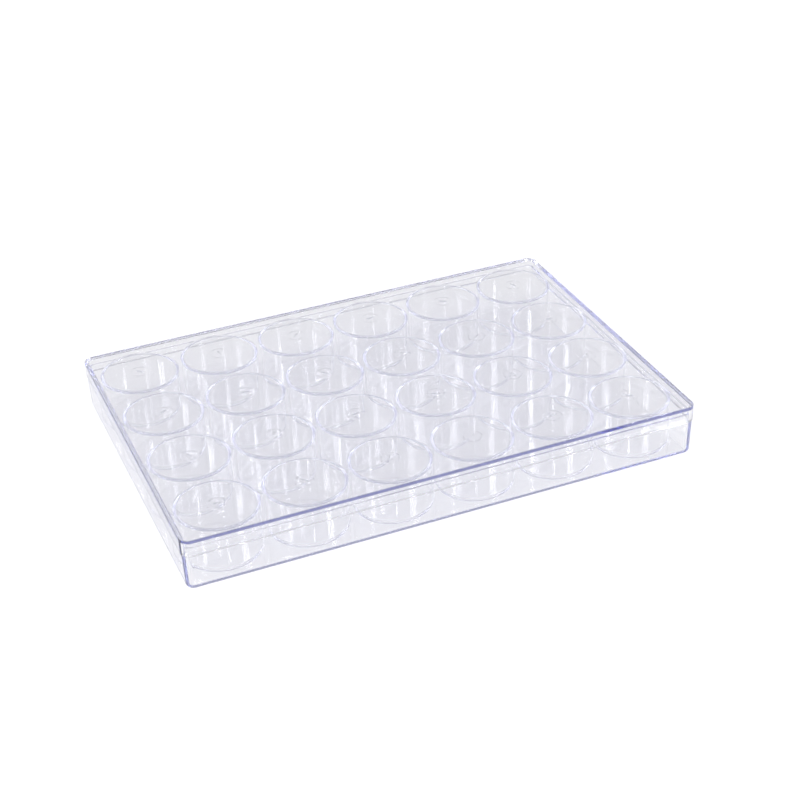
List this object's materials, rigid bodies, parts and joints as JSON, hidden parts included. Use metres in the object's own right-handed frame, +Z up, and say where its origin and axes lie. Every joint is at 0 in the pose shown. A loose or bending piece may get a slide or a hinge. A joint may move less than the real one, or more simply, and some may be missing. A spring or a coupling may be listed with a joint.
{
  "type": "bobbin box",
  "caption": "Flat clear storage box with a lift-off lid, holding a rectangular grid of small round clear jars that each close with a push-in lid.",
  "frame": {"origin": "centre of the box's plan, on the surface the tray stands on", "axes": "+X along the long side, +Y across the short side to the back, +Z up out of the tray"},
  "size_m": [0.2414, 0.165, 0.0254],
  "materials": {
    "tray_styrene": "clear moulded polystyrene, glossy, faint violet-blue tint",
    "lid_styrene": "clear moulded polystyrene, glossy, faint violet-blue tint, fine handling scratches",
    "jar_styrene": "clear moulded polystyrene, glossy, nearly colourless",
    "jar_lid_styrene": "clear moulded polystyrene, glossy, nearly colourless"
  },
  "bodies": {
    "box_base": {"box_base": "tray_styrene"},
    "box_lid": {"box_lid": "lid_styrene"},
    "jar_r1_c1": {"jar_r1_c1": "jar_styrene"},
    "jar_r1_c2": {"jar_r1_c2": "jar_styrene"},
    "jar_r1_c3": {"jar_r1_c3": "jar_styrene"},
    "jar_r1_c4": {"jar_r1_c4": "jar_styrene"},
    "jar_r1_c5": {"jar_r1_c5": "jar_styrene"},
    "jar_r1_c6": {"jar_r1_c6": "jar_styrene"},
    "jar_r2_c1": {"jar_r2_c1": "jar_styrene"},
    "jar_r2_c2": {"jar_r2_c2": "jar_styrene"},
    "jar_r2_c3": {"jar_r2_c3": "jar_styrene"},
    "jar_r2_c4": {"jar_r2_c4": "jar_styrene"},
    "jar_r2_c5": {"jar_r2_c5": "jar_styrene"},
    "jar_r2_c6": {"jar_r2_c6": "jar_styrene"},
    "jar_r3_c1": {"jar_r3_c1": "jar_styrene"},
    "jar_r3_c2": {"jar_r3_c2": "jar_styrene"},
    "jar_r3_c3": {"jar_r3_c3": "jar_styrene"},
    "jar_r3_c4": {"jar_r3_c4": "jar_styrene"},
    "jar_r3_c5": {"jar_r3_c5": "jar_styrene"},
    "jar_r3_c6": {"jar_r3_c6": "jar_styrene"},
    "jar_r4_c1": {"jar_r4_c1": "jar_styrene"},
    "jar_r4_c2": {"jar_r4_c2": "jar_styrene"},
    "jar_r4_c3": {"jar_r4_c3": "jar_styrene"},
    "jar_r4_c4": {"jar_r4_c4": "jar_styrene"},
    "jar_r4_c5": {"jar_r4_c5": "jar_styrene"},
    "jar_r4_c6": {"jar_r4_c6": "jar_styrene"},
    "jar_lid_r1_c1": {"jar_lid_r1_c1": "jar_lid_styrene"},
    "jar_lid_r1_c2": {"jar_lid_r1_c2": "jar_lid_styrene"},
    "jar_lid_r1_c3": {"jar_lid_r1_c3": "jar_lid_styrene"},
    "jar_lid_r1_c4": {"jar_lid_r1_c4": "jar_lid_styrene"},
    "jar_lid_r1_c5": {"jar_lid_r1_c5": "jar_lid_styrene"},
    "jar_lid_r1_c6": {"jar_lid_r1_c6": "jar_lid_styrene"},
    "jar_lid_r2_c1": {"jar_lid_r2_c1": "jar_lid_styrene"},
    "jar_lid_r2_c2": {"jar_lid_r2_c2": "jar_lid_styrene"},
    "jar_lid_r2_c3": {"jar_lid_r2_c3": "jar_lid_styrene"},
    "jar_lid_r2_c4": {"jar_lid_r2_c4": "jar_lid_styrene"},
    "jar_lid_r2_c5": {"jar_lid_r2_c5": "jar_lid_styrene"},
    "jar_lid_r2_c6": {"jar_lid_r2_c6": "jar_lid_styrene"},
    "jar_lid_r3_c1": {"jar_lid_r3_c1": "jar_lid_styrene"},
    "jar_lid_r3_c2": {"jar_lid_r3_c2": "jar_lid_styrene"},
    "jar_lid_r3_c3": {"jar_lid_r3_c3": "jar_lid_styrene"},
    "jar_lid_r3_c4": {"jar_lid_r3_c4": "jar_lid_styrene"},
    "jar_lid_r3_c5": {"jar_lid_r3_c5": "jar_lid_styrene"},
    "jar_lid_r3_c6": {"jar_lid_r3_c6": "jar_lid_styrene"},
    "jar_lid_r4_c1": {"jar_lid_r4_c1": "jar_lid_styrene"},
    "jar_lid_r4_c2": {"jar_lid_r4_c2": "jar_lid_styrene"},
    "jar_lid_r4_c3": {"jar_lid_r4_c3": "jar_lid_styrene"},
    "jar_lid_r4_c4": {"jar_lid_r4_c4": "jar_lid_styrene"},
    "jar_lid_r4_c5": {"jar_lid_r4_c5": "jar_lid_styrene"},
    "jar_lid_r4_c6": {"jar_lid_r4_c6": "jar_lid_styrene"}
  },
  "joints": [
    {"name": "lid_lift", "type": "slide", "parent": "box_base", "child": "box_lid", "axis": [0, 0, 1], "range_m": [0, 0.1]},
    {"name": "jar_r1_c1_lift", "type": "slide", "parent": "box_base", "child": "jar_r1_c1", "axis": [0, 0, 1], "range_m": [0, 0.042]},
    {"name": "jar_r1_c2_lift", "type": "slide", "parent": "box_base", "child": "jar_r1_c2", "axis": [0, 0, 1], "range_m": [0, 0.042]},
    {"name": "jar_r1_c3_lift", "type": "slide", "parent": "box_base", "child": "jar_r1_c3", "axis": [0, 0, 1], "range_m": [0, 0.042]},
    {"name": "jar_r1_c4_lift", "type": "slide", "parent": "box_base", "child": "jar_r1_c4", "axis": [0, 0, 1], "range_m": [0, 0.042]},
    {"name": "jar_r1_c5_lift", "type": "slide", "parent": "box_base", "child": "jar_r1_c5", "axis": [0, 0, 1], "range_m": [0, 0.042]},
    {"name": "jar_r1_c6_lift", "type": "slide", "parent": "box_base", "child": "jar_r1_c6", "axis": [0, 0, 1], "range_m": [0, 0.042]},
    {"name": "jar_r2_c1_lift", "type": "slide", "parent": "box_base", "child": "jar_r2_c1", "axis": [0, 0, 1], "range_m": [0, 0.042]},
    {"name": "jar_r2_c2_lift", "type": "slide", "parent": "box_base", "child": "jar_r2_c2", "axis": [0, 0, 1], "range_m": [0, 0.042]},
    {"name": "jar_r2_c3_lift", "type": "slide", "parent": "box_base", "child": "jar_r2_c3", "axis": [0, 0, 1], "range_m": [0, 0.042]},
    {"name": "jar_r2_c4_lift", "type": "slide", "parent": "box_base", "child": "jar_r2_c4", "axis": [0, 0, 1], "range_m": [0, 0.042]},
    {"name": "jar_r2_c5_lift", "type": "slide", "parent": "box_base", "child": "jar_r2_c5", "axis": [0, 0, 1], "range_m": [0, 0.042]},
    {"name": "jar_r2_c6_lift", "type": "slide", "parent": "box_base", "child": "jar_r2_c6", "axis": [0, 0, 1], "range_m": [0, 0.042]},
    {"name": "jar_r3_c1_lift", "type": "slide", "parent": "box_base", "child": "jar_r3_c1", "axis": [0, 0, 1], "range_m": [0, 0.042]},
    {"name": "jar_r3_c2_lift", "type": "slide", "parent": "box_base", "child": "jar_r3_c2", "axis": [0, 0, 1], "range_m": [0, 0.042]},
    {"name": "jar_r3_c3_lift", "type": "slide", "parent": "box_base", "child": "jar_r3_c3", "axis": [0, 0, 1], "range_m": [0, 0.042]},
    {"name": "jar_r3_c4_lift", "type": "slide", "parent": "box_base", "child": "jar_r3_c4", "axis": [0, 0, 1], "range_m": [0, 0.042]},
    {"name": "jar_r3_c5_lift", "type": "slide", "parent": "box_base", "child": "jar_r3_c5", "axis": [0, 0, 1], "range_m": [0, 0.042]},
    {"name": "jar_r3_c6_lift", "type": "slide", "parent": "box_base", "child": "jar_r3_c6", "axis": [0, 0, 1], "range_m": [0, 0.042]},
    {"name": "jar_r4_c1_lift", "type": "slide", "parent": "box_base", "child": "jar_r4_c1", "axis": [0, 0, 1], "range_m": [0, 0.042]},
    {"name": "jar_r4_c2_lift", "type": "slide", "parent": "box_base", "child": "jar_r4_c2", "axis": [0, 0, 1], "range_m": [0, 0.042]},
    {"name": "jar_r4_c3_lift", "type": "slide", "parent": "box_base", "child": "jar_r4_c3", "axis": [0, 0, 1], "range_m": [0, 0.042]},
    {"name": "jar_r4_c4_lift", "type": "slide", "parent": "box_base", "child": "jar_r4_c4", "axis": [0, 0, 1], "range_m": [0, 0.042]},
    {"name": "jar_r4_c5_lift", "type": "slide", "parent": "box_base", "child": "jar_r4_c5", "axis": [0, 0, 1], "range_m": [0, 0.042]},
    {"name": "jar_r4_c6_lift", "type": "slide", "parent": "box_base", "child": "jar_r4_c6", "axis": [0, 0, 1], "range_m": [0, 0.042]},
    {"name": "jar_lid_r1_c1_lift", "type": "slide", "parent": "jar_r1_c1", "child": "jar_lid_r1_c1", "axis": [0, 0, 1], "range_m": [0, 0.032]},
    {"name": "jar_lid_r1_c2_lift", "type": "slide", "parent": "jar_r1_c2", "child": "jar_lid_r1_c2", "axis": [0, 0, 1], "range_m": [0, 0.032]},
    {"name": "jar_lid_r1_c3_lift", "type": "slide", "parent": "jar_r1_c3", "child": "jar_lid_r1_c3", "axis": [0, 0, 1], "range_m": [0, 0.032]},
    {"name": "jar_lid_r1_c4_lift", "type": "slide", "parent": "jar_r1_c4", "child": "jar_lid_r1_c4", "axis": [0, 0, 1], "range_m": [0, 0.032]},
    {"name": "jar_lid_r1_c5_lift", "type": "slide", "parent": "jar_r1_c5", "child": "jar_lid_r1_c5", "axis": [0, 0, 1], "range_m": [0, 0.032]},
    {"name": "jar_lid_r1_c6_lift", "type": "slide", "parent": "jar_r1_c6", "child": "jar_lid_r1_c6", "axis": [0, 0, 1], "range_m": [0, 0.032]},
    {"name": "jar_lid_r2_c1_lift", "type": "slide", "parent": "jar_r2_c1", "child": "jar_lid_r2_c1", "axis": [0, 0, 1], "range_m": [0, 0.032]},
    {"name": "jar_lid_r2_c2_lift", "type": "slide", "parent": "jar_r2_c2", "child": "jar_lid_r2_c2", "axis": [0, 0, 1], "range_m": [0, 0.032]},
    {"name": "jar_lid_r2_c3_lift", "type": "slide", "parent": "jar_r2_c3", "child": "jar_lid_r2_c3", "axis": [0, 0, 1], "range_m": [0, 0.032]},
    {"name": "jar_lid_r2_c4_lift", "type": "slide", "parent": "jar_r2_c4", "child": "jar_lid_r2_c4", "axis": [0, 0, 1], "range_m": [0, 0.032]},
    {"name": "jar_lid_r2_c5_lift", "type": "slide", "parent": "jar_r2_c5", "child": "jar_lid_r2_c5", "axis": [0, 0, 1], "range_m": [0, 0.032]},
    {"name": "jar_lid_r2_c6_lift", "type": "slide", "parent": "jar_r2_c6", "child": "jar_lid_r2_c6", "axis": [0, 0, 1], "range_m": [0, 0.032]},
    {"name": "jar_lid_r3_c1_lift", "type": "slide", "parent": "jar_r3_c1", "child": "jar_lid_r3_c1", "axis": [0, 0, 1], "range_m": [0, 0.032]},
    {"name": "jar_lid_r3_c2_lift", "type": "slide", "parent": "jar_r3_c2", "child": "jar_lid_r3_c2", "axis": [0, 0, 1], "range_m": [0, 0.032]},
    {"name": "jar_lid_r3_c3_lift", "type": "slide", "parent": "jar_r3_c3", "child": "jar_lid_r3_c3", "axis": [0, 0, 1], "range_m": [0, 0.032]},
    {"name": "jar_lid_r3_c4_lift", "type": "slide", "parent": "jar_r3_c4", "child": "jar_lid_r3_c4", "axis": [0, 0, 1], "range_m": [0, 0.032]},
    {"name": "jar_lid_r3_c5_lift", "type": "slide", "parent": "jar_r3_c5", "child": "jar_lid_r3_c5", "axis": [0, 0, 1], "range_m": [0, 0.032]},
    {"name": "jar_lid_r3_c6_lift", "type": "slide", "parent": "jar_r3_c6", "child": "jar_lid_r3_c6", "axis": [0, 0, 1], "range_m": [0, 0.032]},
    {"name": "jar_lid_r4_c1_lift", "type": "slide", "parent": "jar_r4_c1", "child": "jar_lid_r4_c1", "axis": [0, 0, 1], "range_m": [0, 0.032]},
    {"name": "jar_lid_r4_c2_lift", "type": "slide", "parent": "jar_r4_c2", "child": "jar_lid_r4_c2", "axis": [0, 0, 1], "range_m": [0, 0.032]},
    {"name": "jar_lid_r4_c3_lift", "type": "slide", "parent": "jar_r4_c3", "child": "jar_lid_r4_c3", "axis": [0, 0, 1], "range_m": [0, 0.032]},
    {"name": "jar_lid_r4_c4_lift", "type": "slide", "parent": "jar_r4_c4", "child": "jar_lid_r4_c4", "axis": [0, 0, 1], "range_m": [0, 0.032]},
    {"name": "jar_lid_r4_c5_lift", "type": "slide", "parent": "jar_r4_c5", "child": "jar_lid_r4_c5", "axis": [0, 0, 1], "range_m": [0, 0.032]},
    {"name": "jar_lid_r4_c6_lift", "type": "slide", "parent": "jar_r4_c6", "child": "jar_lid_r4_c6", "axis": [0, 0, 1], "range_m": [0, 0.032]}
  ],
  "couplings": [
    {"joint": "jar_r1_c1_lift", "follows": "lid_lift", "ratio": 0.4},
    {"joint": "jar_r1_c2_lift", "follows": "lid_lift", "ratio": 0.4},
    {"joint": "jar_r1_c3_lift", "follows": "lid_lift", "ratio": 0.4},
    {"joint": "jar_r1_c4_lift", "follows": "lid_lift", "ratio": 0.4},
    {"joint": "jar_r1_c5_lift", "follows": "lid_lift", "ratio": 0.4},
    {"joint": "jar_r1_c6_lift", "follows": "lid_lift", "ratio": 0.4},
    {"joint": "jar_r2_c1_lift", "follows": "lid_lift", "ratio": 0.4},
    {"joint": "jar_r2_c2_lift", "follows": "lid_lift", "ratio": 0.4},
    {"joint": "jar_r2_c3_lift", "follows": "lid_lift", "ratio": 0.4},
    {"joint": "jar_r2_c4_lift", "follows": "lid_lift", "ratio": 0.4},
    {"joint": "jar_r2_c5_lift", "follows": "lid_lift", "ratio": 0.4},
    {"joint": "jar_r2_c6_lift", "follows": "lid_lift", "ratio": 0.4},
    {"joint": "jar_r3_c1_lift", "follows": "lid_lift", "ratio": 0.4},
    {"joint": "jar_r3_c2_lift", "follows": "lid_lift", "ratio": 0.4},
    {"joint": "jar_r3_c3_lift", "follows": "lid_lift", "ratio": 0.4},
    {"joint": "jar_r3_c4_lift", "follows": "lid_lift", "ratio": 0.4},
    {"joint": "jar_r3_c5_lift", "follows": "lid_lift", "ratio": 0.4},
    {"joint": "jar_r3_c6_lift", "follows": "lid_lift", "ratio": 0.4},
    {"joint": "jar_r4_c1_lift", "follows": "lid_lift", "ratio": 0.4},
    {"joint": "jar_r4_c2_lift", "follows": "lid_lift", "ratio": 0.4},
    {"joint": "jar_r4_c3_lift", "follows": "lid_lift", "ratio": 0.4},
    {"joint": "jar_r4_c4_lift", "follows": "lid_lift", "ratio": 0.4},
    {"joint": "jar_r4_c5_lift", "follows": "lid_lift", "ratio": 0.4},
    {"joint": "jar_r4_c6_lift", "follows": "lid_lift", "ratio": 0.4},
    {"joint": "jar_lid_r1_c1_lift", "follows": "lid_lift", "ratio": 0.3},
    {"joint": "jar_lid_r1_c2_lift", "follows": "lid_lift", "ratio": 0.3},
    {"joint": "jar_lid_r1_c3_lift", "follows": "lid_lift", "ratio": 0.3},
    {"joint": "jar_lid_r1_c4_lift", "follows": "lid_lift", "ratio": 0.3},
    {"joint": "jar_lid_r1_c5_lift", "follows": "lid_lift", "ratio": 0.3},
    {"joint": "jar_lid_r1_c6_lift", "follows": "lid_lift", "ratio": 0.3},
    {"joint": "jar_lid_r2_c1_lift", "follows": "lid_lift", "ratio": 0.3},
    {"joint": "jar_lid_r2_c2_lift", "follows": "lid_lift", "ratio": 0.3},
    {"joint": "jar_lid_r2_c3_lift", "follows": "lid_lift", "ratio": 0.3},
    {"joint": "jar_lid_r2_c4_lift", "follows": "lid_lift", "ratio": 0.3},
    {"joint": "jar_lid_r2_c5_lift", "follows": "lid_lift", "ratio": 0.3},
    {"joint": "jar_lid_r2_c6_lift", "follows": "lid_lift", "ratio": 0.3},
    {"joint": "jar_lid_r3_c1_lift", "follows": "lid_lift", "ratio": 0.3},
    {"joint": "jar_lid_r3_c2_lift", "follows": "lid_lift", "ratio": 0.3},
    {"joint": "jar_lid_r3_c3_lift", "follows": "lid_lift", "ratio": 0.3},
    {"joint": "jar_lid_r3_c4_lift", "follows": "lid_lift", "ratio": 0.3},
    {"joint": "jar_lid_r3_c5_lift", "follows": "lid_lift", "ratio": 0.3},
    {"joint": "jar_lid_r3_c6_lift", "follows": "lid_lift", "ratio": 0.3},
    {"joint": "jar_lid_r4_c1_lift", "follows": "lid_lift", "ratio": 0.3},
    {"joint": "jar_lid_r4_c2_lift", "follows": "lid_lift", "ratio": 0.3},
    {"joint": "jar_lid_r4_c3_lift", "follows": "lid_lift", "ratio": 0.3},
    {"joint": "jar_lid_r4_c4_lift", "follows": "lid_lift", "ratio": 0.3},
    {"joint": "jar_lid_r4_c5_lift", "follows": "lid_lift", "ratio": 0.3},
    {"joint": "jar_lid_r4_c6_lift", "follows": "lid_lift", "ratio": 0.3}
  ]
}
